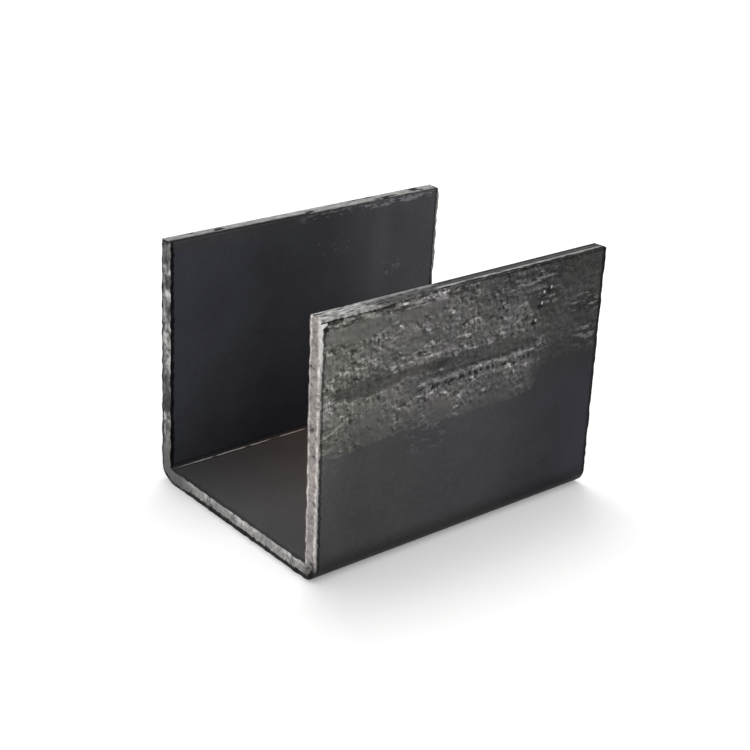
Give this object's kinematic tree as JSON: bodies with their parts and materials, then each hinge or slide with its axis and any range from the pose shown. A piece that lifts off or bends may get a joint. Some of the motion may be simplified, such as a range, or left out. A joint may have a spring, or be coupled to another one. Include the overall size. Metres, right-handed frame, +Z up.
{
  "type": "metal channel section",
  "caption": "Short sawn length of bent steel channel: a flat web, upright flanges and rounded bends, open along the top, for framing, guiding or stiffening.",
  "frame": {"origin": "middle of the web's underside, on the surface that the channel lies on", "axes": "+X across the web towards the square flange, +Y along the length, +Z up the flanges"},
  "size_m": [0.05, 0.067, 0.05],
  "materials": {
    "mill_steel": "dark hot-rolled mill scale, scuffed grey on one flange, bare metal on the sawn ends and tips"
  },
  "bodies": {
    "root": {"channel": "mill_steel"}
  },
  "joints": []
}
